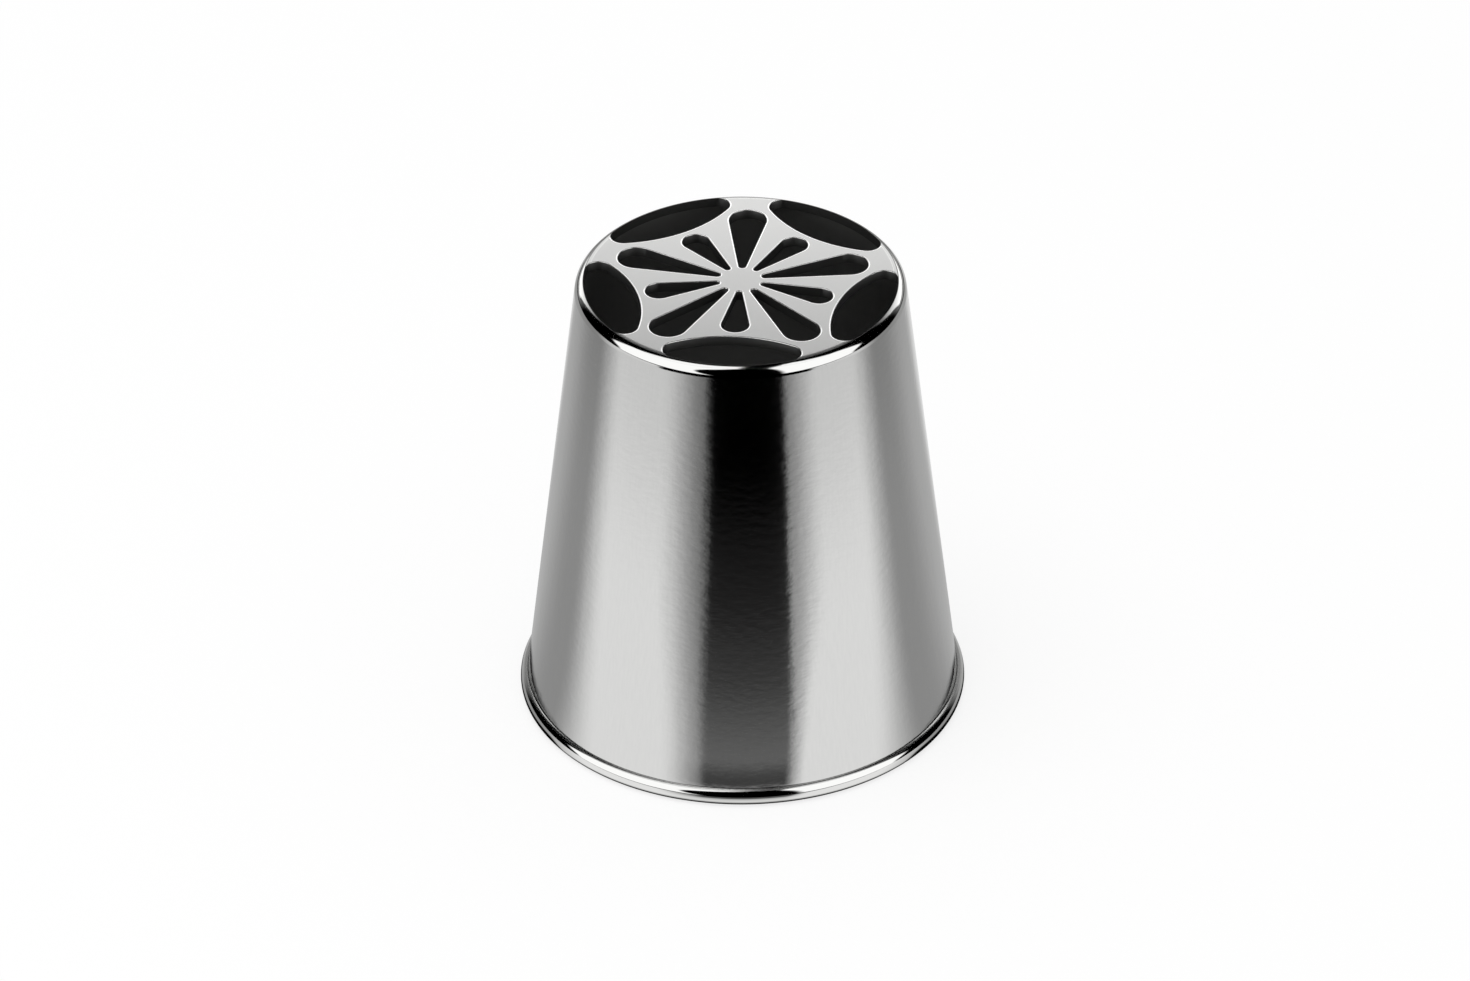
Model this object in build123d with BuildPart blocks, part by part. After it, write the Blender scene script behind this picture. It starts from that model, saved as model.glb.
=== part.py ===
from build123d import *

import os
from math import acos, asin, atan2, cos, hypot, pi, sin, sqrt, tan

os.makedirs("parts", exist_ok=True)

# A steel piping nozzle that stands on its wide open foot, in millimetres.
# The origin is the centre of the ring that it stands on, and +Z goes up through its face.

# Whole nozzle
height = 37.3
foot_diameter = 35.0
mouth_radius = 12.66  # where the outside of the wall would meet the face if the shoulder were sharp
shoulder_radius = 1.0

# Drawn wall, and the hem that its foot is folded into
sheet = 0.4
hem_gap = 0.1  # clear width between the wall and the turned-up sheet
hem_radius = 0.75  # of the arc that the hem's outside follows, from its thin lip down to the foot
hem_lip_thickness = 0.05
hem_lip_gap = 0.03  # what is left of the clear width at the lip
lapping = 0.03  # taken off the bottom of that arc
standing_width = 0.06  # flat ring that the nozzle stands on

# Face plate and its seat in the mouth
plate_thickness = 0.8
seat_clearance = 0.02

# Weld round the plate, in a V groove, dressed flush with the polished shoulder
groove_width = 0.2
groove_depth = 0.25

# Pattern of openings, the same in each fifth of the face
pattern_count = 5
first_petal_angle = 90.0
hub_radius = 1.7  # solid middle, where all petals start
long_petal_margin = 2.18  # from a long petal's end to the plate's edge
long_petal_end_radius = 1.43
long_petal_tip_radius = 0.25
short_petal_end_radius = 1.04
short_petal_tip_radius = 0.2
short_petal_land = 0.71  # metal between a short petal's end and the rim opening
long_petal_land = 0.84  # metal between a long petal's end and the two rim openings beside it
rim_opening_web = 0.2  # metal between a rim opening and the plate's edge
rim_opening_arc_radius = 10.45
rim_opening_corner_radius = 1.0

# Overrun of cuts, and the most of a wall or an opening that a rounded corner takes
overrun = 1.0
rounding_limit_share = 0.9
corner_limit_share = 0.45

# The hem stands out from the wall by its gap and the sheet. Its arc and the mouth set the slope of the wall
hem_out = hem_gap + sheet
hem_centre_out = hem_out - hem_radius
hem_centre_height = hem_radius - lapping
hem_centre_radius = foot_diameter / 2 - hem_radius
hem_centre = (hem_centre_radius, hem_centre_height)
rise = height - hem_centre_height
run = hem_centre_radius - mouth_radius
slope = acos(hem_centre_out / hypot(rise, run)) - atan2(rise, run)

# The arc runs from the lip, which nearly touches the wall, down to the flat ring
lip_out = hem_lip_gap + min(hem_lip_thickness, sheet * rounding_limit_share)
lip_angle = slope + acos(1 - (hem_out - lip_out) / hem_radius)
lip_along = (rise + hem_centre_out * sin(slope)) / cos(slope) - hem_radius * sin(lip_angle - slope)
standing_angle = -asin(hem_centre_height / hem_radius)
standing_outer = hem_centre_radius + hem_radius * cos(standing_angle)
standing_inner = standing_outer - standing_width

# Inside, an arc joins the flat ring to the wall. The gap in the hem ends a sheet above the flat ring
fold_out = (standing_inner - mouth_radius) * cos(slope) - height * sin(slope)
fold_radius = (fold_out + sheet) / (1 - sin(slope))
fold_centre = (standing_inner, fold_radius)
fold_top_along = (height - fold_radius + (fold_radius - sheet) * sin(slope)) / cos(slope)
gap_height = sheet + hem_gap / 2
gap_along = (height - gap_height + hem_gap / 2 * sin(slope)) / cos(slope)

# The seam between the wall and the plate comes up through the shoulder, a little below the sharp mouth
shoulder_setback = shoulder_radius * tan(pi / 4 - slope / 2)
seam_under_shoulder = min(sheet, shoulder_radius * (1 - sin(slope)))
seam_along = shoulder_setback - sqrt(shoulder_radius**2 - (shoulder_radius - seam_under_shoulder) ** 2)


def wall_point(along, out):
    """Section point, a distance down the wall's outside from the sharp mouth and a distance out from it."""
    radius = mouth_radius + along * sin(slope) + out * cos(slope)
    return radius, height - along * cos(slope) + out * sin(slope)


def wall_radius(depth, out):
    """Radius at a depth under the face, on a line at a distance out from the wall's outside."""
    return mouth_radius + depth * tan(slope) + out / cos(slope)


def arc_point(centre, radius, angle):
    """Section point on an arc, at an angle up from straight outwards."""
    return centre[0] + radius * cos(angle), centre[1] + radius * sin(angle)


def petal(start, tip_radius, end, end_radius):
    """Teardrop along +X: a small round tip, a large round end and the straight sides that touch both."""
    tip_centre = start + tip_radius
    end_centre = end - end_radius
    lean = asin((end_radius - tip_radius) / (end_centre - tip_centre))
    tip_x = tip_centre - tip_radius * sin(lean)
    tip_y = tip_radius * cos(lean)
    end_x = end_centre - end_radius * sin(lean)
    end_y = end_radius * cos(lean)
    with BuildSketch() as outline:
        with BuildLine():
            Line((tip_x, tip_y), (end_x, end_y))
            ThreePointArc((end_x, end_y), (end, 0), (end_x, -end_y))
            Line((end_x, -end_y), (tip_x, -tip_y))
            ThreePointArc((tip_x, -tip_y), (start, 0), (tip_x, tip_y))
        make_face()
    return outline.sketch


# Section of the outside, which the shell, the plate and the weld share after polishing
with BuildSketch() as polished_outside:
    with BuildLine():
        Polyline(
            (0, 0),
            (wall_radius(height, overrun), 0),
            wall_point(lip_along, overrun),
            wall_point(lip_along - overrun, 0),
            (mouth_radius, height),
            (0, height),
            close=True,
        )
    make_face()
    sharp_mouth = polished_outside.vertices().group_by(Axis.Y)[-1].sort_by(Axis.X)[-1]
    fillet(sharp_mouth, radius=shoulder_radius)

# Section of the V groove, centred on the seam between the wall's inside and the plate
with BuildSketch() as groove:
    with BuildLine():
        Polyline(
            wall_point(seam_along + groove_depth, -sheet),
            wall_point(seam_along - groove_depth, -sheet - groove_width),
            wall_point(seam_along - groove_depth, -sheet + groove_width),
            close=True,
        )
    make_face()

# Shell: the drawn cone with its foot folded outwards and up, rounded by the arc of the hem
with BuildPart() as shell:
    with BuildSketch(Plane.XZ):
        with BuildLine():
            Polyline(
                wall_point(fold_top_along, -sheet),
                (wall_radius(0, -sheet), height),
                (mouth_radius, height),
                wall_point(gap_along, 0),
            )
            ThreePointArc(
                wall_point(gap_along, 0),
                wall_point(gap_along + hem_gap / 2, hem_gap / 2),
                wall_point(gap_along, hem_gap),
            )
            Polyline(
                wall_point(gap_along, hem_gap),
                wall_point(lip_along, hem_lip_gap),
                wall_point(lip_along, lip_out),
            )
            ThreePointArc(
                wall_point(lip_along, lip_out),
                arc_point(hem_centre, hem_radius, (lip_angle + standing_angle) / 2),
                (standing_outer, 0),
            )
            Line((standing_outer, 0), (standing_inner, 0))
            ThreePointArc(
                (standing_inner, 0),
                arc_point(fold_centre, fold_radius, (slope - 3 * pi / 2) / 2),
                wall_point(fold_top_along, -sheet),
            )
        make_face()
        add(polished_outside.sketch_local, mode=Mode.INTERSECT)
        add(groove.sketch_local, mode=Mode.SUBTRACT)
    revolve(axis=Axis.Z)

shell.part.label = "shell"
export_step(shell.part, "parts/shell.step")

# Face plate: a disc with a tapered edge that seats in the mouth, pierced by petals and rim openings
plate_edge_out = -sheet - seat_clearance
plate_radius = wall_radius(0, plate_edge_out)
long_petal_end = plate_radius - long_petal_margin
long_petal_centre = long_petal_end - long_petal_end_radius

# A rim opening lies between the plate's rim and a circle that clears the long petals by their land
rim_opening_outer = plate_radius - rim_opening_web
half_pitch = pi / pattern_count
rim_arc_reach = rim_opening_arc_radius + long_petal_land + long_petal_end_radius
rim_arc_across = long_petal_centre * sin(half_pitch)
rim_arc_centre = long_petal_centre * cos(half_pitch) + sqrt(rim_arc_reach**2 - rim_arc_across**2)
rim_opening_inner = rim_arc_centre - rim_opening_arc_radius
corner_limit = (rim_opening_outer - rim_opening_inner) * corner_limit_share
short_petal_end = rim_opening_inner - short_petal_land

long_petal = petal(hub_radius, long_petal_tip_radius, long_petal_end, long_petal_end_radius)
short_petal = petal(hub_radius, short_petal_tip_radius, short_petal_end, short_petal_end_radius)

with BuildSketch() as rim_opening:
    Circle(rim_opening_outer)
    with Locations((rim_arc_centre, 0)):
        Circle(rim_opening_arc_radius, mode=Mode.INTERSECT)
    fillet(rim_opening.vertices(), radius=min(rim_opening_corner_radius, corner_limit))

with BuildPart() as face_plate:
    with BuildSketch(Plane.XZ):
        with BuildLine():
            Polyline(
                (0, height - plate_thickness),
                (wall_radius(plate_thickness, plate_edge_out), height - plate_thickness),
                (plate_radius, height),
                (0, height),
                close=True,
            )
        make_face()
        add(polished_outside.sketch_local, mode=Mode.INTERSECT)
        add(groove.sketch_local, mode=Mode.SUBTRACT)
    revolve(axis=Axis.Z)
    with BuildSketch(Plane.XY.offset(height + overrun)):
        with PolarLocations(0, pattern_count, start_angle=first_petal_angle):
            add(long_petal)
        with PolarLocations(0, pattern_count, start_angle=first_petal_angle + 180 / pattern_count):
            add(short_petal)
            add(rim_opening.sketch)
    extrude(amount=-plate_thickness - 2 * overrun, mode=Mode.SUBTRACT)

face_plate.part.label = "face_plate"
export_step(face_plate.part, "parts/face_plate.step")

# Weld ring: fills the groove up to the polished outside
with BuildPart() as weld_ring:
    with BuildSketch(Plane.XZ):
        add(groove.sketch_local)
        add(polished_outside.sketch_local, mode=Mode.INTERSECT)
    revolve(axis=Axis.Z)

weld_ring.part.label = "weld_ring"
export_step(weld_ring.part, "parts/weld_ring.step")
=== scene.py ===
# %% [markdown]
# # A steel piping nozzle for one-press flowers
# The real nozzle is a thin steel cone. Its foot is folded outwards into a narrow bead, and its mouth holds
# a flat face with fifteen openings. The wall is a soft mirror, the shoulder and the bead are brighter
# still, and the face is fine matte.
# A CAD model of it is already packed as a frame: three solids at their real size. This lesson dresses them.
# The frame loads first, because every size and place below is taken from it or set against it.

# %% The frame
from math import acos, asin, atan2, ceil, cos, degrees, hypot, pi, radians, sin, sqrt, tan

import bmesh
import bpy
from mathutils import Matrix, Vector


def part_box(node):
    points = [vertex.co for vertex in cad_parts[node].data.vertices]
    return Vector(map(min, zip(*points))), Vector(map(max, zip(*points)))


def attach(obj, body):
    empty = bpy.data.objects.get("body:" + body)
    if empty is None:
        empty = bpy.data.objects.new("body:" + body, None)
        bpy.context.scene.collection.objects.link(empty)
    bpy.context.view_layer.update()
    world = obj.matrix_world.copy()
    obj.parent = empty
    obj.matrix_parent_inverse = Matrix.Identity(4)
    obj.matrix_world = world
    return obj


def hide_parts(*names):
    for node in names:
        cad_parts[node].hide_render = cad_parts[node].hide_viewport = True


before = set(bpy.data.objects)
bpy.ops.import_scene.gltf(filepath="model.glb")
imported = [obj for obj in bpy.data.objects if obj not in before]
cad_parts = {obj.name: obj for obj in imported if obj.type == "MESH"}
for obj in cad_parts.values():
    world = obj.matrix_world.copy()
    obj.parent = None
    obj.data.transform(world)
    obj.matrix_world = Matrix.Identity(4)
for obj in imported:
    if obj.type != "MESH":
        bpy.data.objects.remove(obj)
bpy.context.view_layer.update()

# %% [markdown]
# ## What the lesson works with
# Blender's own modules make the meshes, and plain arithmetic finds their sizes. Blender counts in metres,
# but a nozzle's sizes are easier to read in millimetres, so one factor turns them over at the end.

mm = 0.001  # sizes below are in millimetres, and this turns them into Blender's metres
print("nodes in the frame:", sorted(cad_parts))

# %% [markdown]
# ## Sizes
# The frame gives the overall sizes: how high the face stands and how wide the foot is. The rest are the
# shop sizes of the sheet, the hem, the seam and the openings, the same as in the CAD model, so that each
# dressed piece lies exactly where its solid does.
# The cone's wall is straight. One slope, worked out from the mouth and the hem, sets everything on it.

# %% Sizes of the nozzle
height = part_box("face_plate")[1].z / mm
foot_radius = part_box("shell")[1].x / mm

mouth_radius = 12.66  # where the wall would meet the face if the shoulder were sharp
shoulder_radius = 1.0
sheet = 0.4

hem_gap = 0.1
hem_radius = 0.75
hem_lip_thickness = 0.05
hem_lip_gap = 0.03
lapping = 0.03
standing_width = 0.06

plate_thickness = 0.8
seat_clearance = 0.02
groove_width = 0.2
groove_depth = 0.25

hem_out = hem_gap + sheet
hem_centre_out = hem_out - hem_radius
hem_centre = Vector((foot_radius - hem_radius, hem_radius - lapping))
rise = height - hem_centre.y
run = hem_centre.x - mouth_radius
slope = acos(hem_centre_out / hypot(rise, run)) - atan2(rise, run)
lip_out = hem_lip_gap + hem_lip_thickness
lip_angle = slope + acos(1 - (hem_out - lip_out) / hem_radius)
lip_along = (rise + hem_centre_out * sin(slope)) / cos(slope) - hem_radius * sin(lip_angle - slope)
shoulder_setback = shoulder_radius * tan(pi / 4 - slope / 2)
seam_along = shoulder_setback - sqrt(shoulder_radius**2 - (shoulder_radius - sheet) ** 2)
print(f"height {height:.2f} mm, foot radius {foot_radius:.2f} mm, wall slopes {degrees(slope):.2f} degrees")

# %% [markdown]
# ## The camera
# The photograph looks down on the nozzle through a long lens from well back, so the cone hardly narrows
# with distance. The camera was found by fitting the outlines of the nozzle and of its openings: its height
# above the table, its turn round the nozzle and its distance, from which the lens follows.
# A camera in Blender looks along its own -Z, so its three axes are laid out here as the columns of a
# matrix.

# %% Camera
camera_elevation = radians(33.62)
camera_azimuth = radians(3.91)
camera_roll = 0.0053
camera_distance = 685.6
camera_lens = 215.6
aim_height = 17.86
aim_right = -0.52

back = Vector(
    (
        sin(camera_azimuth) * cos(camera_elevation),
        -cos(camera_azimuth) * cos(camera_elevation),
        sin(camera_elevation),
    )
)
level_right = Vector((cos(camera_azimuth), sin(camera_azimuth), 0))
level_up = back.cross(level_right)
right = level_right * cos(camera_roll) - level_up * sin(camera_roll)
up = level_right * sin(camera_roll) + level_up * cos(camera_roll)
stand = Vector((0, 0, aim_height)) + level_right * aim_right + back * camera_distance

camera_data = bpy.data.cameras.new("camera")
camera_data.lens = camera_lens
camera = bpy.data.objects.new("camera", camera_data)
camera.matrix_world = Matrix.Translation(stand * mm) @ Matrix((right, up, back)).transposed().to_4x4()
bpy.context.scene.collection.objects.link(camera)
bpy.context.scene.camera = camera
print("camera stands at", [round(c, 4) for c in camera.location])

# %% [markdown]
# ## Sums written as Python
# Both shaders and Geometry Nodes are trees of nodes, and a sum in them is a chain of Math nodes. Wired one
# by one they are hard to read, so two small classes write them down instead.
# `Value` wraps a socket. Its operators add the Math node that they stand for, also with a plain number in
# front, as in `1 - mask`. `Graph` adds every other node: its settings first, then the values or links of
# its sockets.


# %% Values and graphs
class Value:
    """A node's output that takes part in Python sums."""

    def __init__(self, graph, socket):
        self.graph = graph
        self.socket = socket

    def __add__(self, other):
        return self.graph.math("ADD", self, other)

    def __sub__(self, other):
        return self.graph.math("SUBTRACT", self, other)

    def __rsub__(self, other):
        return self.graph.math("SUBTRACT", other, self)

    def __mul__(self, other):
        return self.graph.math("MULTIPLY", self, other)

    def __truediv__(self, other):
        return self.graph.math("DIVIDE", self, other)

    def __neg__(self):
        return self.graph.math("MULTIPLY", self, -1)

    def __abs__(self):
        return self.graph.math("ABSOLUTE", self)

    __radd__ = __add__
    __rmul__ = __mul__


class Graph:
    """A node tree with one way to add a node, and short names for the sums that have no operator."""

    def __init__(self, tree):
        self.tree = tree

    def node(self, kind, settings, inputs, output=0):
        """Adds a node and returns one of its outputs, or all of them."""
        made = self.tree.nodes.new(kind)
        for name, setting in settings.items():
            if name == "stops":
                self.set_stops(made.color_ramp, setting)
            else:
                setattr(made, name, setting)
        for key, given in inputs.items():
            if isinstance(given, Value):
                self.tree.links.new(given.socket, made.inputs[key])
            else:
                made.inputs[key].default_value = given
        if output == "all":
            return [Value(self, socket) for socket in made.outputs]
        return Value(self, made.outputs[output]) if made.outputs else None

    def set_stops(self, ramp, stops):
        """Gives a colour ramp its stops, each a position and a brightness."""
        while len(ramp.elements) < len(stops):
            ramp.elements.new(1.0)
        for element, (position, brightness) in zip(ramp.elements, stops):
            element.position = position
            element.color = (brightness, brightness, brightness, 1)

    def math(self, operation, first, second=0.0):
        return self.node("ShaderNodeMath", {"operation": operation}, {0: first, 1: second})

    def vector_math(self, operation, first, second):
        return self.node("ShaderNodeVectorMath", {"operation": operation}, {0: first, 1: second})

    def most(self, first, second):
        return self.math("MAXIMUM", first, second)

    def length(self, first, second):
        return self.math("SQRT", first * first + second * second)

    def bearing(self, x, y):
        """Degrees round the upright axis, 0 at the front (-Y) and growing towards +X."""
        return self.math("ARCTAN2", x, -y) * (180 / pi)

    def fade(self, value, start, end):
        """Goes smoothly from 0 at start to 1 at end, and end may be the smaller of the two."""
        inputs = {"Value": value, "From Min": start, "From Max": end}
        return self.node("ShaderNodeMapRange", {"interpolation_type": "SMOOTHSTEP"}, inputs)

    def mix(self, share, first, second):
        """A number between two numbers."""
        return self.node("ShaderNodeMix", {"data_type": "FLOAT"}, {"Factor": share, 2: first, 3: second})

    def mix_colour(self, share, first, second):
        inputs = {"Factor": share, 6: first, 7: second}
        return self.node("ShaderNodeMix", {"data_type": "RGBA"}, inputs, output=2)

    def noise(self, point, stretch, scale, detail):
        """Noise with so many waves to the millimetre, stretched by a share of that along each axis."""
        stretched = self.vector_math("MULTIPLY", point, stretch)
        inputs = {"Vector": stretched, "Scale": scale, "Detail": detail}
        return self.node("ShaderNodeTexNoise", {}, inputs)

    def split(self, vector):
        """The three parts of a vector."""
        return self.node("ShaderNodeSeparateXYZ", {}, {0: vector}, output="all")


# %% [markdown]
# ## Where a point lies on the nozzle
# Every finish follows the nozzle's own shape: a soft mirror on the wall, bright on the shoulder and the
# bead, dull inside and darkened there with painted shade. A painted image map could say so, but it would
# need a careful unwrap and a file.
# Instead the material works it out from the Object coordinates, which stay with the piece when it moves.
# Two distances are enough: how far down the wall a point lies, and how far out from the wall's outside.


# %% Places on the nozzle, for a shader
def new_material(name):
    """A node material, its graph and its Object coordinates in millimetres."""
    material = bpy.data.materials.new(name)
    material.use_nodes = True
    material.node_tree.nodes.clear()
    graph = Graph(material.node_tree)
    coordinates = graph.node("ShaderNodeTexCoord", {}, {}, output="Object")
    return material, graph, graph.vector_math("MULTIPLY", coordinates, (1 / mm, 1 / mm, 1 / mm))


def place_on_wall(graph, point):
    """Distances down the wall and out from its outside, in millimetres."""
    x, y, z = graph.split(point)
    past_mouth = graph.length(x, y) - mouth_radius
    below_face = height - z
    along = past_mouth * sin(slope) + below_face * cos(slope)
    out = past_mouth * cos(slope) - below_face * sin(slope)
    return along, out


def finish_steel(graph, colour, roughness, relief, relief_height):
    """Ends a steel material. The relief runs from 0 to 1, and its height is in millimetres."""
    inputs = {"Strength": 1.0, "Distance": relief_height * mm, "Height": relief}
    bump = graph.node("ShaderNodeBump", {}, inputs, output="Normal")
    inputs = {"Base Color": colour, "Metallic": 1.0, "Roughness": roughness, "Normal": bump}
    shader = graph.node("ShaderNodeBsdfPrincipled", {}, inputs)
    graph.node("ShaderNodeOutputMaterial", {}, {"Surface": shader})


# %% [markdown]
# ## Drawn steel with bright edges
# The cone was drawn from sheet and polished, and both its ends were buffed once more. The drawing tool left
# faint ripples that run down the wall, and the polish left a fine mottle. Neither shows in an even
# reflection. They show where a dark one ends, as a ragged edge.
# So the wall is a mirror with a little roughness, and two noises bend it: one stretched down the wall, and
# one nearly even. Masks choose the finish of the shoulder, the bead and the inside, where the steel is also
# darkened with painted shade. A last one darkens the top of the bead a little with painted shade, where it
# nearly meets the wall, and leaves it rougher there.

# %% Steel of the shell
wall_colour = (0.66, 0.66, 0.65, 1)
streak_colour = (0.62, 0.62, 0.615, 1)
bright_colour = (0.7, 0.7, 0.69, 1)
# painted shade: the colour that darkens the inside of the cone
inside_shade_colour = (0.3, 0.3, 0.295, 1)
# painted shade: the colour that darkens the top of the bead where it meets the wall
crease_shade_colour = (0.25, 0.25, 0.245, 1)
crease_reach = 0.15
crease_share = 0.35
wall_roughness = 0.1
bright_roughness = 0.05
inside_roughness = 0.5
wall_relief = 0.02


def shell_steel():
    material, graph, point = new_material("satin_steel")
    along, out = place_on_wall(graph, point)
    shoulder = graph.fade(along, shoulder_setback, shoulder_setback - 0.15)
    bead = graph.fade(out, 0.02, 0.05)
    bright = graph.most(shoulder, bead)
    # the inside gets a duller finish and a painted shade
    inside = graph.fade(out, -0.25, -0.35) * graph.fade(along, seam_along, seam_along + 0.3)
    crease_end = lip_along + crease_reach
    # painted shade in the crease above the bead, which is also left rougher
    crease = bead * graph.fade(along, crease_end, crease_end - 0.05) * crease_share

    brushing = graph.noise(point, (1, 1, 0.04), 6.0, 3.0)
    ripple = graph.noise(point, (1, 1, 0.03), 0.7, 1.0)
    mottle = graph.noise(point, (1, 1, 1.8), 1.2, 3.0)

    colour = graph.mix_colour(brushing, wall_colour, streak_colour)
    colour = graph.mix_colour(bright, colour, bright_colour)
    colour = graph.mix_colour(crease, colour, crease_shade_colour)
    colour = graph.mix_colour(inside, colour, inside_shade_colour)
    roughness = wall_roughness + (brushing - 0.5) * 0.05 + (mottle - 0.5) * 0.06
    roughness = graph.mix(bright, roughness, bright_roughness)
    roughness = graph.mix(graph.most(inside, crease), roughness, inside_roughness)
    relief = (ripple * 0.5 + mottle * 0.5 + brushing * 0.02) * (1 - bright)
    finish_steel(graph, colour, roughness, relief, wall_relief)
    return material


shell_material = shell_steel()
print("steel of the shell:", len(shell_material.node_tree.nodes), "nodes")

# %% [markdown]
# ## Matte steel of the face
# The face was cut by a laser and then blasted to a fine matte, which scatters light evenly. Only the weld
# and the shell's own part of the shoulder were buffed, so the face is matte up to the weld. Deburring left
# the edges of the openings a little rounded, and they carry a painted highlight; the walls of the cuts are
# darkened with painted shade. The material tells them apart by height: the edges lie a hair under the
# face, and the cut walls below them.

# %% Steel of the face plate
matte_colour = (0.63, 0.63, 0.62, 1)
grain_colour = (0.58, 0.58, 0.575, 1)
# painted highlight: pale colour of the rounded edges of the openings
edge_highlight_colour = (0.97, 0.97, 0.96, 1)
# painted shade: dark colour of the walls of the cuts
cut_shade_colour = (0.12, 0.12, 0.118, 1)
matte_roughness = 0.33
edge_roughness = 0.22
edge_width = 0.13
edge_depth = 0.035
cut_flare = 0.05  # how much wider a laser's cut is at its top
grain_relief = 0.004


def face_steel():
    material, graph, point = new_material("face_steel")
    x, y, z = graph.split(point)
    radius = graph.length(x, y)
    flat_radius = mouth_radius - shoulder_setback
    flat = graph.fade(radius, flat_radius + 0.1, flat_radius)
    # painted shade on the walls of the cuts
    cut = graph.fade(z, height - edge_depth, height - edge_depth - 0.02)
    # painted highlight on the rounded edges of the openings
    edge = graph.fade(z, height - 0.0002, height - 0.001) * flat
    grain = graph.noise(point, (1, 1, 1), 14.0, 2.0)
    colour = graph.mix_colour(grain, matte_colour, grain_colour)
    colour = graph.mix_colour(edge, colour, edge_highlight_colour)
    colour = graph.mix_colour(cut, colour, cut_shade_colour)
    roughness = graph.mix(edge, matte_roughness + (grain - 0.5) * 0.08, edge_roughness)
    roughness = graph.mix(cut, roughness, inside_roughness)
    finish_steel(graph, colour, roughness, grain, grain_relief)
    return material


face_material = face_steel()
print("steel of the face:", len(face_material.node_tree.nodes), "nodes")

# %% [markdown]
# ## The dressed weld
# The weld was ground flush and buffed with the shoulder, so only a trace of it is left: metal a hair duller
# and a little uneven.

# %% Steel of the weld
weld_colour = (0.67, 0.67, 0.66, 1)
weld_roughness = 0.06
weld_relief = 0.002


def weld_steel():
    material, graph, point = new_material("weld_steel")
    unevenness = graph.noise(point, (1, 1, 1), 2.5, 2.0)
    colour = graph.mix_colour(unevenness, weld_colour, bright_colour)
    finish_steel(graph, colour, weld_roughness + unevenness * 0.03, unevenness, weld_relief)
    return material


weld_material = weld_steel()
print("steel of the weld:", len(weld_material.node_tree.nodes), "nodes")

# %% [markdown]
# ## Turning a section
# All three pieces are round, as if turned on a lathe, so each starts as a section: half of the shape that a
# cut through the axis would show.
# The section is drawn from points. Straight stretches need only their ends, and arcs a point every few
# degrees. Smooth shading blends the normals of neighbouring faces, so a short face goes between an arc and
# the long straight wall: it keeps the wall's reflections straight.

# %% Points of a section
arc_step = 5.0
support = 0.1


def wall_point(along, out):
    """Section point, a distance down the wall's outside from the sharp mouth and a distance out from it."""
    radius = mouth_radius + along * sin(slope) + out * cos(slope)
    return Vector((radius, height - along * cos(slope) + out * sin(slope)))


def arc(centre, radius, start, end, step=arc_step):
    """Points on an arc between two directions, in degrees from level, with a short face at each end."""
    steps = ceil(abs(end - start) / step)
    shares = [0] + [(i + 0.5) / steps for i in range(steps)] + [1]
    angles = [radians(start + (end - start) * share) for share in shares]
    return [centre + radius * Vector((cos(a), sin(a))) for a in angles]


# %% [markdown]
# A drawn cone is round because its tools are. A modeller could spin the section with the Screw modifier.
# Geometry Nodes do it here, because the tree then has named inputs and serves all three pieces: it sweeps
# the section round a circle.
# What comes out is a plain mesh. A short pass in bmesh merges doubled points and turns all faces outwards,
# and its count of open edges should be 0 for a closed piece.


# %% Tree that turns a section
def group_input(graph, name):
    return graph.node("NodeGroupInput", {}, {}, output=name)


def new_modifier_tree(name, sockets):
    """A Geometry Nodes tree with a geometry input and output and other named inputs."""
    tree = bpy.data.node_groups.new(name, "GeometryNodeTree")
    tree.interface.new_socket("Geometry", in_out="OUTPUT", socket_type="NodeSocketGeometry")
    tree.interface.new_socket("Geometry", in_out="INPUT", socket_type="NodeSocketGeometry")
    for label, kind in sockets:
        tree.interface.new_socket(label, in_out="INPUT", socket_type=kind)
    return Graph(tree)


def turning_tree():
    sockets = [("Radius", "NodeSocketFloat"), ("Steps", "NodeSocketInt"), ("Material", "NodeSocketMaterial")]
    graph = new_modifier_tree("turn_section", sockets)
    section = graph.node("GeometryNodeMeshToCurve", {}, {"Mesh": group_input(graph, "Geometry")})
    inputs = {"Resolution": group_input(graph, "Steps"), "Radius": group_input(graph, "Radius")}
    circle = graph.node("GeometryNodeCurvePrimitiveCircle", {}, inputs)
    upright = graph.node("GeometryNodeSetCurveNormal", {"mode": "Z_UP"}, {"Curve": circle})
    turned = graph.node("GeometryNodeCurveToMesh", {}, {"Curve": upright, "Profile Curve": section})
    real = graph.node("GeometryNodeRealizeInstances", {}, {0: turned})
    inputs = {"Geometry": real, "Material": group_input(graph, "Material")}
    coated = graph.node("GeometryNodeSetMaterial", {}, inputs)
    graph.node("NodeGroupOutput", {}, {"Geometry": coated})
    return graph.tree


def applied(source, tree, inputs):
    """Runs a tree on an object and returns the result as a plain mesh. The source object goes."""
    modifier = source.modifiers.new(tree.name, "NODES")
    modifier.node_group = tree
    for item in tree.interface.items_tree:
        if item.in_out == "INPUT" and item.name in inputs:
            modifier[item.identifier] = inputs[item.name]
    evaluated = source.evaluated_get(bpy.context.evaluated_depsgraph_get())
    mesh = bpy.data.meshes.new_from_object(evaluated)
    bpy.data.objects.remove(source)
    return mesh


def linked(name, mesh):
    made = bpy.data.objects.new(name, mesh)
    bpy.context.scene.collection.objects.link(made)
    return made


turn_steps = 256
merge_distance = 0.0005
sharp_angle = 30
turning = turning_tree()


def turn(name, points, closed, material):
    """Turns a section, given as points of radius and height in millimetres, into a mesh."""
    start = points[0].x
    flat = [((p.x - start) * mm, -p.y * mm, 0) for p in points]
    edges = [(i, i + 1) for i in range(len(flat) - 1)]
    if closed:
        edges.append((len(flat) - 1, 0))
    mesh = bpy.data.meshes.new(name)
    mesh.from_pydata(flat, edges, [])
    section = linked(name, mesh)
    return applied(section, turning, {"Radius": start * mm, "Steps": turn_steps, "Material": material})


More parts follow.
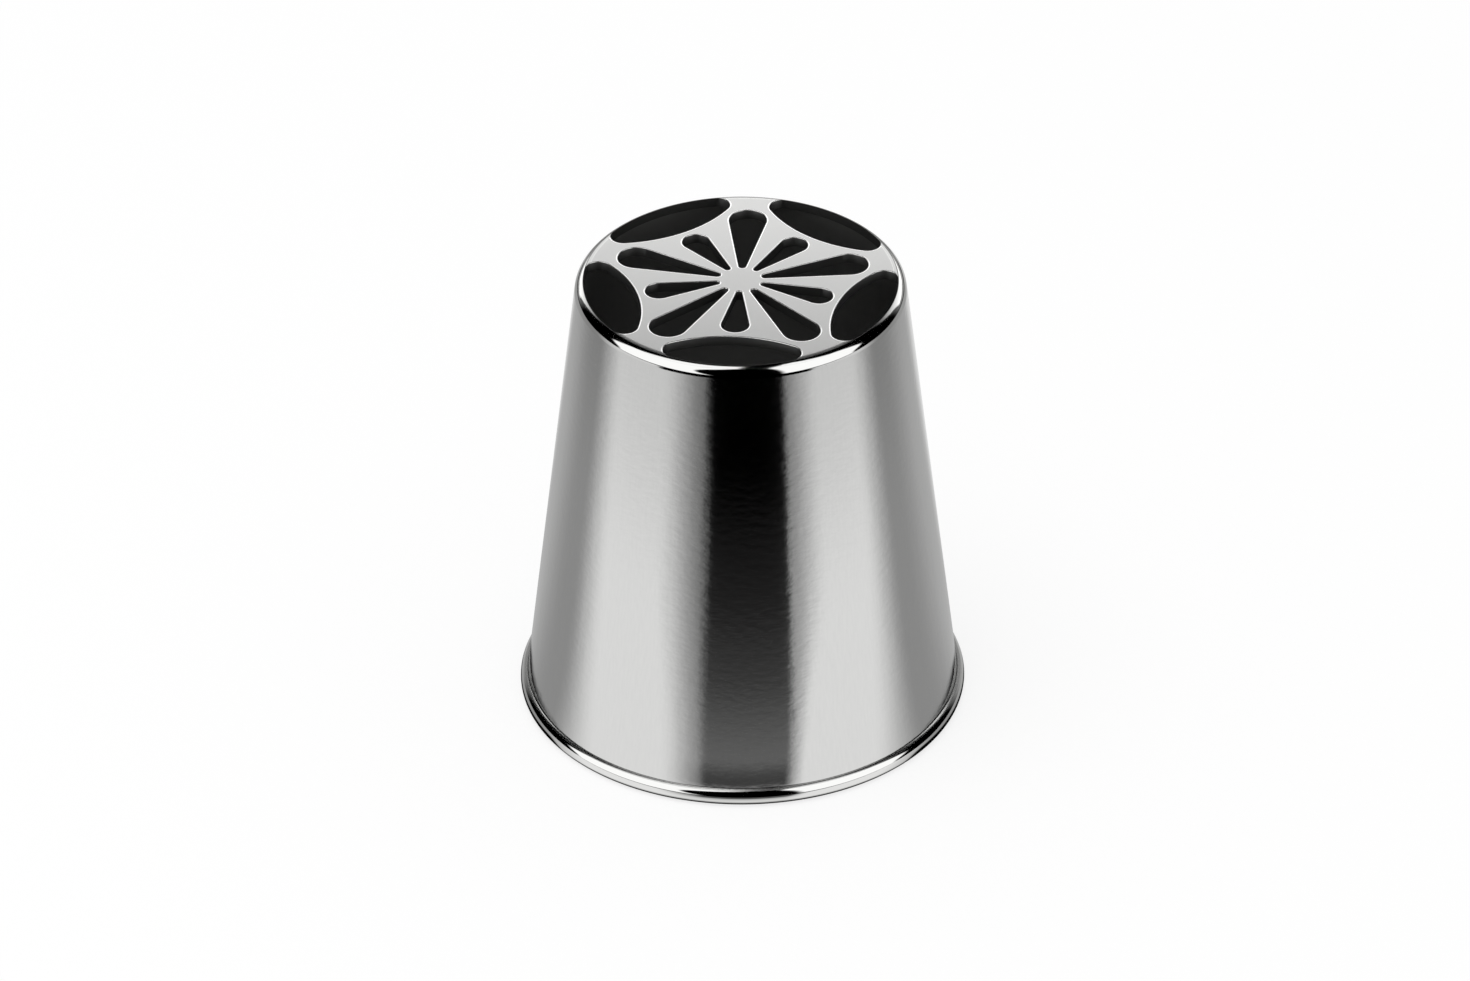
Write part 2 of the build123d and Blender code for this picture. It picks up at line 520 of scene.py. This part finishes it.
def cleaned(mesh, fill=False):
    """Merges doubles, closes flat holes where asked, and turns all faces outwards."""
    work = bmesh.new()
    work.from_mesh(mesh)
    bmesh.ops.remove_doubles(work, verts=work.verts, dist=merge_distance * mm)
    if fill:
        bmesh.ops.holes_fill(work, edges=[e for e in work.edges if e.is_boundary], sides=0)
    bmesh.ops.recalc_face_normals(work, faces=work.faces)
    open_edges = sum(not e.is_manifold for e in work.edges)
    volume = work.calc_volume() / mm**3
    print(f"{mesh.name}: {len(work.faces)} faces, {open_edges} open edges, {volume:.1f} cubic mm")
    work.to_mesh(mesh)
    work.free()
    return mesh


def shaded(piece, limit):
    """Smooth shading that stops at edges sharper than a limit in degrees."""
    piece.data.shade_smooth()
    piece.data.set_sharp_from_angle(angle=radians(limit))
    return piece


# %% [markdown]
# ## The V groove
# Before welding, the edges of the cone and of the disc were chamfered, so that together they leave a small
# V. It comes out of the rounded shoulder between two places, which the sections of all three pieces need.
# A sum for those places would be long. It is easier to look along the shoulder, halving the range each
# time.

# %% Where the groove comes out
slope_angle = degrees(slope)
shoulder_centre = Vector((mouth_radius - shoulder_setback, height - shoulder_radius))
groove_bottom = wall_point(seam_along + groove_depth, -sheet)


def groove_edge(width):
    """Direction on the shoulder, in degrees from level, where one side of the groove comes out."""
    side = wall_point(seam_along - groove_depth, width - sheet) - groove_bottom
    low, high = slope_angle, 90.0
    for _ in range(40):
        middle = radians((low + high) / 2)
        place = shoulder_centre + shoulder_radius * Vector((cos(middle), sin(middle))) - groove_bottom
        if side.x * place.y > side.y * place.x:
            high = degrees(middle)
        else:
            low = degrees(middle)
    return low


shell_edge = groove_edge(groove_width)
plate_edge = groove_edge(-groove_width)
print(f"the weld shows between {shell_edge:.1f} and {plate_edge:.1f} degrees on the shoulder")

# %% [markdown]
# ## The shell
# The cone and its hem are one sheet. Its section starts in the groove, goes over the shoulder, down the
# wall and into the crease behind the hem, up the hem's inside to its thin lip, and down its round outside
# to the narrow flat that the nozzle stands on. A small arc leads back to the wall's inside.
# The crease stays open by a tenth of a millimetre, as the fold of such a sheet does, and closes to a hair
# at the lip.

# %% Shell
standing_angle = -asin(hem_centre.y / hem_radius)
standing_inner = hem_centre.x + hem_radius * cos(standing_angle) - standing_width
fold_out = (standing_inner - mouth_radius) * cos(slope) - height * sin(slope)
fold_radius = (fold_out + sheet) / (1 - sin(slope))
gap_height = sheet + hem_gap / 2
gap_along = (height - gap_height + hem_gap / 2 * sin(slope)) / cos(slope)

shell_points = [groove_bottom]
shell_points += arc(shoulder_centre, shoulder_radius, shell_edge, slope_angle)
shell_points += [wall_point(shoulder_setback + support, 0), wall_point(gap_along - support, 0)]
crease_bottom = wall_point(gap_along, hem_gap / 2)
shell_points += arc(crease_bottom, hem_gap / 2, slope_angle - 180, slope_angle, step=30)
shell_points += [wall_point(lip_along, hem_lip_gap)]
shell_points += arc(hem_centre, hem_radius, degrees(lip_angle), degrees(standing_angle))
shell_points += arc(Vector((standing_inner, fold_radius)), fold_radius, -90, slope_angle - 180)
shell_points += [shell_points[-1] + support * Vector((-sin(slope), cos(slope)))]
shell = linked("nozzle_shell", cleaned(turn("nozzle_shell", shell_points, True, shell_material)))
shaded(shell, sharp_angle)

# %% [markdown]
# ## The weld ring
# The weld fills the V between the two edges, and its top is part of the shoulder.

# %% Weld ring
weld_points = [groove_bottom] + arc(shoulder_centre, shoulder_radius, plate_edge, shell_edge)
weld = linked("nozzle_weld", cleaned(turn("nozzle_weld", weld_points, True, weld_material)))
shaded(weld, sharp_angle)

# %% [markdown]
# ## The pierced face
# The real face is a disc that a laser pierced with the same pattern five times. The lesson does the same:
# one fifth of the pattern is made as cutters, and a tree repeats it round the axis and cuts it out of a
# disc. First come the outlines. Each is a few arcs with their own centres, and the straight lines that
# touch two of them. It could be a curve drawn by hand, but drawn so it grows or shrinks evenly when all its
# radii change by the same amount.

# %% Outlines of the openings
pattern_count = 5
first_petal_angle = 90.0
hub_radius = 1.7
long_petal_margin = 2.18
long_petal_end_radius = 1.43
long_petal_tip_radius = 0.25
short_petal_end_radius = 1.04
short_petal_tip_radius = 0.2
short_petal_land = 0.71
long_petal_land = 0.84
rim_opening_web = 0.2
rim_opening_arc_radius = 10.45
rim_opening_corner_radius = 1.0

plate_radius = mouth_radius - (sheet + seat_clearance) / cos(slope)
long_petal_end = plate_radius - long_petal_margin
long_petal_centre = long_petal_end - long_petal_end_radius
half_pitch = pi / pattern_count
rim_opening_outer = plate_radius - rim_opening_web
rim_arc_reach = rim_opening_arc_radius + long_petal_land + long_petal_end_radius
rim_arc_across = long_petal_centre * sin(half_pitch)
rim_arc_centre = long_petal_centre * cos(half_pitch) + sqrt(rim_arc_reach**2 - rim_arc_across**2)
short_petal_end = rim_arc_centre - rim_opening_arc_radius - short_petal_land


def petal_arcs(start, tip_radius, end, end_radius):
    """A petal along +X as arcs: centre, radius, and the directions in which it starts and ends."""
    tip_centre = start + tip_radius
    end_centre = end - end_radius
    lean = degrees(asin((end_radius - tip_radius) / (end_centre - tip_centre)))
    return [
        ((end_centre, 0), end_radius, -90 - lean, 90 + lean),
        ((tip_centre, 0), tip_radius, 90 + lean, 270 - lean),
    ]


def rim_opening_arcs():
    """A rim opening along +X: an arc round the axis, a flatter one that faces it, and two rounded corners."""
    outer = rim_opening_outer - rim_opening_corner_radius
    inner = rim_opening_arc_radius - rim_opening_corner_radius
    corner_x = (outer**2 - inner**2 + rim_arc_centre**2) / (2 * rim_arc_centre)
    corner_y = sqrt(outer**2 - corner_x**2)
    outer_angle = degrees(atan2(corner_y, corner_x))
    inner_angle = degrees(atan2(corner_y, corner_x - rim_arc_centre))
    return [
        ((0, 0), rim_opening_outer, -outer_angle, outer_angle),
        ((corner_x, corner_y), rim_opening_corner_radius, outer_angle, inner_angle),
        ((rim_arc_centre, 0), rim_opening_arc_radius, inner_angle, 360 - inner_angle),
        ((corner_x, -corner_y), rim_opening_corner_radius, -inner_angle, -outer_angle),
    ]


outline_step = 6.0
outline_face = 0.35


def outline_points(arcs, growth):
    """Points round an outline whose radii have all grown by the same amount."""
    points = []
    for centre, radius, start, end in arcs:
        turn_angle = abs(end - start)
        steps = ceil(max(turn_angle / outline_step, radians(turn_angle) * radius / outline_face))
        for i in range(steps + 1):
            angle = radians(start + (end - start) * i / steps)
            points.append(Vector(centre) + (radius + growth) * Vector((cos(angle), sin(angle))))
    return points


# %% [markdown]
# A cutter is a block with an opening's outline. A bevel on the finished plate could round its edges, but
# after a Boolean it is easily upset by slivers. So the cutter itself has the shape of the edge: near the
# top it widens in a few layers, and each opening gets the small rounded edge that deburring leaves.


# %% Cutters of one fifth
overrun = 1.0
above_face = 0.001
edge_angles = (0, 22.5, 45, 67.5)


def cutter_layers():
    """Growth and height of each layer of a cutter, from under the plate to above it."""
    layers = [(0, height - plate_thickness - overrun)]
    for angle in edge_angles:
        growth = cut_flare + edge_width * (1 - cos(radians(angle)))
        layers.append((growth, height - edge_depth * (1 - sin(radians(angle)))))
    widest = cut_flare + edge_width
    return layers + [(widest, height + above_face), (widest, height + overrun)]


def add_cutter(work, arcs, turn_by):
    """Adds one closed cutter, turned round the axis by some degrees."""
    spin = Matrix.Rotation(radians(turn_by), 3, "Z")
    layers = []
    for growth, level in cutter_layers():
        ring = [spin @ Vector((p.x, p.y, level)) * mm for p in outline_points(arcs, growth)]
        layers.append([work.verts.new(v) for v in ring])
    for lower, upper in zip(layers, layers[1:]):
        for i in range(len(lower)):
            j = (i + 1) % len(lower)
            work.faces.new((lower[i], lower[j], upper[j], upper[i]))
    work.faces.new(layers[0][::-1])
    work.faces.new(layers[-1])


long_petal_arcs = petal_arcs(hub_radius, long_petal_tip_radius, long_petal_end, long_petal_end_radius)
short_petal_arcs = petal_arcs(hub_radius, short_petal_tip_radius, short_petal_end, short_petal_end_radius)
between_petals = first_petal_angle + 180 / pattern_count

work = bmesh.new()
add_cutter(work, long_petal_arcs, first_petal_angle)
add_cutter(work, short_petal_arcs, between_petals)
add_cutter(work, rim_opening_arcs(), between_petals)
bmesh.ops.remove_doubles(work, verts=work.verts, dist=merge_distance * mm)
bmesh.ops.recalc_face_normals(work, faces=work.faces)
cutter_mesh = bpy.data.meshes.new("cutters")
work.to_mesh(cutter_mesh)
work.free()
cutters = linked("cutters", cutter_mesh)
print("cutters of one fifth:", len(cutter_mesh.polygons), "faces")


# %% [markdown]
# The tree sets the cutters of one fifth on as many points as the pattern has repeats, all at the axis and
# each turned a step further, and takes them out of the disc with one Boolean. The exact solver is slower
# than the other, but it keeps the plate closed.


# %% Tree that pierces the disc
def piercing_tree():
    cutters_socket = ("Cutters", "NodeSocketObject")
    sockets = [cutters_socket, ("Count", "NodeSocketInt"), ("Material", "NodeSocketMaterial")]
    graph = new_modifier_tree("pierce_disc", sockets)
    count = group_input(graph, "Count")
    inputs = {"Object": group_input(graph, "Cutters")}
    fifth = graph.node("GeometryNodeObjectInfo", {}, inputs, output="Geometry")
    places = graph.node("GeometryNodeMeshLine", {}, {"Count": count, "Offset": (0, 0, 0)})
    index = graph.node("GeometryNodeInputIndex", {}, {})
    turn_each = graph.node("ShaderNodeCombineXYZ", {}, {"Z": index * (2 * pi) / count})
    inputs = {"Points": places, "Instance": fifth, "Rotation": turn_each}
    copies = graph.node("GeometryNodeInstanceOnPoints", {}, inputs)
    real = graph.node("GeometryNodeRealizeInstances", {}, {0: copies})
    settings = {"operation": "DIFFERENCE", "solver": "EXACT"}
    inputs = {"Mesh 1": group_input(graph, "Geometry"), "Mesh 2": real}
    pierced = graph.node("GeometryNodeMeshBoolean", settings, inputs)
    solid = graph.node("GeometryNodeRealizeInstances", {}, {0: pierced})
    inputs = {"Geometry": solid, "Material": group_input(graph, "Material")}
    coated = graph.node("GeometryNodeSetMaterial", {}, inputs)
    graph.node("NodeGroupOutput", {}, {"Geometry": coated})
    return graph.tree


# %% [markdown]
# The disc itself is turned: the tree turns its rim, and the two flat holes that are left are closed. Then
# it is pierced.
# Its flat face should shade as flat, right up to the rounded edges. Weighted normals see to that, because
# they let the largest face round a point decide.

# %% Face plate
plate_points = [Vector((shoulder_centre.x - 2 * support, height))]
plate_points += arc(shoulder_centre, shoulder_radius, 90, plate_edge)
plate_points += [groove_bottom + Vector((-seat_clearance / cos(slope), 0))]
plate_points += [Vector((plate_radius + plate_thickness * tan(slope), height - plate_thickness))]
blank = linked("blank", cleaned(turn("face_blank", plate_points, False, face_material), fill=True))
inputs = {"Cutters": cutters, "Count": pattern_count, "Material": face_material}
plate = linked("nozzle_face", cleaned(applied(blank, piercing_tree(), inputs)))
bpy.data.objects.remove(cutters)
shaded(plate, 40)  # the rounded edges turn by 22.5 degrees a step, and stay smooth
weighting = plate.modifiers.new("flat_faces_first", "WEIGHTED_NORMAL")
weighting.keep_sharp = True
weighting.weight = 100

# %% [markdown]
# ## The studio
# Polished steel shows its surroundings more than itself, so the studio is most of its look. The
# photograph's is simple, and the steel shows it all: a white sheet on the table with a dark gap in front, a
# white tent over the front with an oval window for the camera, and a white card behind, with the room in
# half light beyond it. The arm that holds the tent up crosses its top.
# Each of them could be a lamp, but lamps light everything else too. Here the steel alone sees them, by way
# of Light Path: the camera sees plain white, and soft even light falls on whatever is matte.
# The tent and the room are the world, drawn by direction. Where a border is soft, a pair of numbers says
# where it starts and ends: bearings and elevations in degrees, or shares of the direction's length.

# %% Tent
tent_white = 1.38
tent_foot = 0.1  # height of its lower edge, as a share of its distance in front
window_bearing = 10
window_elevation = 34
window_half_angle = 38
room_white = 0.4
even_light = 0.6

world = bpy.data.worlds.new("studio")
bpy.context.scene.world = world
world.use_nodes = True
world.node_tree.nodes.clear()
world.cycles.sampling_method = "NONE"
sky = Graph(world.node_tree)
direction = sky.node("ShaderNodeTexCoord", {}, {}, output="Generated")
dx, dy, dz = sky.split(direction)
bearing = sky.bearing(dx, dy)
elevation = sky.math("ARCSINE", dz) * (180 / pi)

leaning_back = 0.22 * sky.fade(dz, 0.1, 0.5) - 0.15
tent = sky.fade(dy - leaning_back, 0.04, -0.04) * sky.fade(dz + dy * tent_foot, -0.02, 0.02)
across = (bearing - window_bearing) / window_half_angle
oval = sky.length(across, (elevation - window_elevation) / window_half_angle)
window = sky.fade(oval, 1.06, 0.96) * sky.fade(bearing, 34, 29)
boom = sky.fade(dx, -0.02, 0.03) * sky.fade(dx, 0.27, 0.22) * sky.fade(dz, 0.55, 0.7)
tent_seen = tent * (1 - sky.most(window, boom)) * tent_white
room = sky.fade(dy, 0.55, 0.8) * sky.fade(elevation, 40, 30) * room_white

to_camera = sky.node("ShaderNodeLightPath", {}, {}, output="Is Camera Ray")
to_steel = sky.node("ShaderNodeLightPath", {}, {}, output="Is Glossy Ray")
level = sky.mix(to_camera, sky.mix(to_steel, even_light, tent_seen + room), 1.0)
background = sky.node("ShaderNodeBackground", {}, {"Color": (1, 1, 1, 1), "Strength": level})
sky.node("ShaderNodeOutputWorld", {}, {"Surface": background})
print("studio:", len(world.node_tree.nodes), "nodes")

# %% [markdown]
# ## The table
# The wall leans back a little and the camera looks down on it, so it mirrors nothing but the table: at its
# top the table a hand's breadth away, and at its foot the table beside it. The sheet on the table is
# brightest at both sides. In front it is left open, and the dark wedge of that gap is the dark band down
# the nozzle's front. Behind the nozzle the sheet is grey, and bright again straight behind. All these
# borders run out from the foot, so they are bearings from points near it, and the gap's are softer far out.
# Right at the foot the sheet is painted dark as the nozzle's own shade, and just beyond that a ring of light
# gets in. Inside the foot there is only what comes down through the openings.
# A white plane with lamps round it could give the same, but the gap would then show in the picture too. So
# the table's material shows the steel one thing and the camera another.

# %% Table
table_radius = 3.0
sheet_white = 1.05
sheet_grey = 0.37
sheet_front = -130
sheet_back = 300
gap_point = -10  # place in front of the axis that the gap's borders run out from
sheet_point = -12
table_white = 0.76
paper_colour = (0.3, 0.3, 0.3, 1)
foot_light = 0.1
glow_reach = 100
glow_stops = [(18, 0.9), (19.5, 0.5), (21, 0.06), (23, 0.08), (26, 0.17)]
glow_stops += [(31, 0.14), (43, 0.06), (60, 0.02), (90, 0)]


def gap_in_front(graph, x, y, radius):
    """1 in the dark wedge in front, and 0 on the sheet."""
    bearing = graph.bearing(x, y - gap_point)
    blur = graph.fade(radius, 25, 65)
    left = 0.75 * graph.fade(bearing, -42 - blur * 8, -18) + 0.25 * graph.fade(bearing, -22, -14)
    right = 0.62 * graph.fade(bearing, 42 + blur * 15, 33) + 0.38 * graph.fade(bearing, 35.5, 30.5)
    return left * right


def sheet_brightness(graph, x, y, radius):
    """White beside the nozzle, grey behind it and lighter again straight behind."""
    aside = abs(graph.bearing(x, y - sheet_point))
    light = sheet_grey + (sheet_white - sheet_grey) * graph.fade(aside, 106, 82)
    light = light + 0.14 * graph.fade(aside, 112, 138) + 0.3 * graph.fade(aside, 146, 162)
    light = light * (1 - 0.2 * graph.fade(radius, 50, 105))
    front_edge = graph.fade(y, sheet_front - 5, sheet_front + 5)
    front_edge = graph.most(front_edge, graph.fade(aside, 46, 54))
    return light * front_edge * graph.fade(y, sheet_back + 10, sheet_back - 10)


def glow_in_gap(graph, radius):
    """The gap's own faint light, by distance from the axis."""
    stops = [(distance / glow_reach, brightness) for distance, brightness in glow_stops]
    return graph.node("ShaderNodeValToRGB", {"stops": stops}, {"Fac": radius / glow_reach})


def mirrored_table(graph, x, y, radius):
    """Brightness of the table as the steel sees it."""
    gap = gap_in_front(graph, x, y, radius)
    light = graph.mix(gap, sheet_brightness(graph, x, y, radius), glow_in_gap(graph, radius))
    beside = abs(graph.bearing(x, y))
    # painted shade of the nozzle on the table, wider at its sides
    shade = graph.fade(beside, 50, 62) * graph.fade(beside, 115, 95)
    light = light * graph.fade(radius, 17.3 + shade, 17.8 + shade * 1.5)
    return light + foot_light * graph.fade(radius, 17.2, 16.5)


def table_material():
    material, graph, point = new_material("table")
    material.cycles.emission_sampling = "NONE"
    x, y, _ = graph.split(point)
    mirrored = mirrored_table(graph, x, y, graph.length(x, y))
    to_camera = graph.node("ShaderNodeLightPath", {}, {}, output="Is Camera Ray")
    to_steel = graph.node("ShaderNodeLightPath", {}, {}, output="Is Glossy Ray")
    paper = graph.node("ShaderNodeBsdfDiffuse", {}, {"Color": paper_colour})
    white = graph.node("ShaderNodeEmission", {}, {"Strength": to_camera * table_white})
    seen = graph.node("ShaderNodeAddShader", {}, {0: paper, 1: white})
    light = graph.node("ShaderNodeEmission", {}, {"Strength": mirrored})
    surface = graph.node("ShaderNodeMixShader", {}, {0: to_steel, 1: seen, 2: light})
    graph.node("ShaderNodeOutputMaterial", {}, {"Surface": surface})
    return material


table_mesh = bpy.data.meshes.new("table")
work = bmesh.new()
bmesh.ops.create_circle(work, cap_ends=True, segments=96, radius=table_radius)
work.to_mesh(table_mesh)
work.free()
table_mesh.materials.append(table_material())
table = linked("table", table_mesh)
print("table:", len(table_mesh.materials[0].node_tree.nodes), "nodes")

# %% [markdown]
# ## The card behind
# The matte face mirrors a card that hangs close behind the nozzle. It is brightest low down, which makes
# the back of the face paler than its front. A card so near has to be a real object, because what it shows
# depends on where on the face one looks, and a world is the same from everywhere.

# %% Card
card_distance = 45
card_half_width = 64
card_bottom = 46
card_top = 104
card_white = 1.6


def card_material():
    material, graph, point = new_material("card")
    material.cycles.emission_sampling = "NONE"
    x, _, z = graph.split(point)
    sides = graph.fade(abs(x), card_half_width, card_half_width - 8)
    strength = card_white * sides * graph.fade(z, card_top, card_bottom)
    light = graph.node("ShaderNodeEmission", {}, {"Strength": strength})
    graph.node("ShaderNodeOutputMaterial", {}, {"Surface": light})
    return material


low_left = Vector((-card_half_width, card_distance, card_bottom)) * mm
width = Vector((2 * card_half_width, 0, 0)) * mm
rise_up = Vector((0, 0, card_top - card_bottom)) * mm
card_mesh = bpy.data.meshes.new("card")
corners = [low_left, low_left + width, low_left + width + rise_up, low_left + rise_up]
card_mesh.from_pydata(corners, [], [(0, 1, 2, 3)])
card_mesh.materials.append(card_material())
card = linked("card", card_mesh)
card.visible_camera = False
card.visible_diffuse = False
card.visible_shadow = False
print("card:", 2 * card_half_width, "mm wide,", card_top - card_bottom, "mm high")

# %% [markdown]
# ## The lamp
# One large soft lamp overhead, a little to the left, gives the nozzle its shadow on the table. Its glare
# would be a stray patch on the steel, so glossy rays don't see it.

# %% Lamp
lamp_watts = 1.2
lamp_size = 500
lamp_place = Vector((-150, -100, 700))

lamp_data = bpy.data.lights.new("top_lamp", "AREA")
lamp_data.energy = lamp_watts
lamp_data.size = lamp_size * mm
lamp = bpy.data.objects.new("top_lamp", lamp_data)
lamp.location = lamp_place * mm
lamp.rotation_euler = (-lamp_place).to_track_quat("-Z", "Y").to_euler()
lamp.visible_glossy = False
bpy.context.scene.collection.objects.link(lamp)

bpy.context.scene.view_settings.view_transform = "Standard"
print("lamp:", lamp_watts, "W,", lamp_size, "mm square")

# %% [markdown]
# ## Handing over
# The table lists each piece, the solid it stands for and the name of its finish. Each piece rides on the
# body root, and its solid is hidden.

# %% Hand over
hand_over = (
    (shell, "shell", "satin_steel"),
    (plate, "face_plate", "face_steel"),
    (weld, "weld_ring", "weld_steel"),
)
for piece, node, slot in hand_over:
    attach(piece, "root")
    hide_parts(node)
